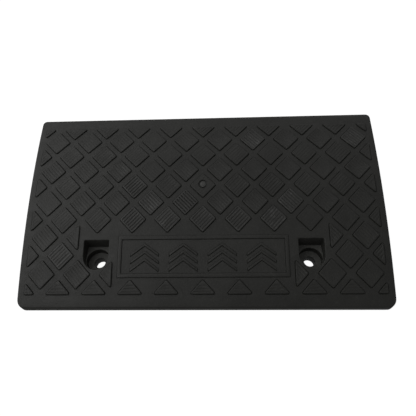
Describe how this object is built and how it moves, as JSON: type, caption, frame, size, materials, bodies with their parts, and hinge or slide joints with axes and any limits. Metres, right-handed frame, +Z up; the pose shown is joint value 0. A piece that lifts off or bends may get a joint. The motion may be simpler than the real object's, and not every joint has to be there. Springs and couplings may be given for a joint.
{
  "type": "kerb ramp",
  "caption": "Wedge-shaped rubber kerb ramp with a diamond tile tread, a thin leading lip, bolt pockets and a ribbed hollow underside on soft foot pads.",
  "frame": {"origin": "centre of the footprint, on the ground", "axes": "+X along the width of the ramp, +Y up the slope towards the tall back wall, +Z up"},
  "size_m": [0.5, 0.27, 0.09],
  "materials": {
    "ramp_rubber": "satin black moulding with a fine grain",
    "pad_rubber": "matt soft rubber"
  },
  "bodies": {
    "root": {"ramp_body": "ramp_rubber", "foot_pad_1": "pad_rubber", "foot_pad_2": "pad_rubber", "foot_pad_3": "pad_rubber", "foot_pad_4": "pad_rubber", "foot_pad_5": "pad_rubber", "foot_pad_6": "pad_rubber", "foot_pad_7": "pad_rubber", "foot_pad_8": "pad_rubber"}
  },
  "joints": []
}
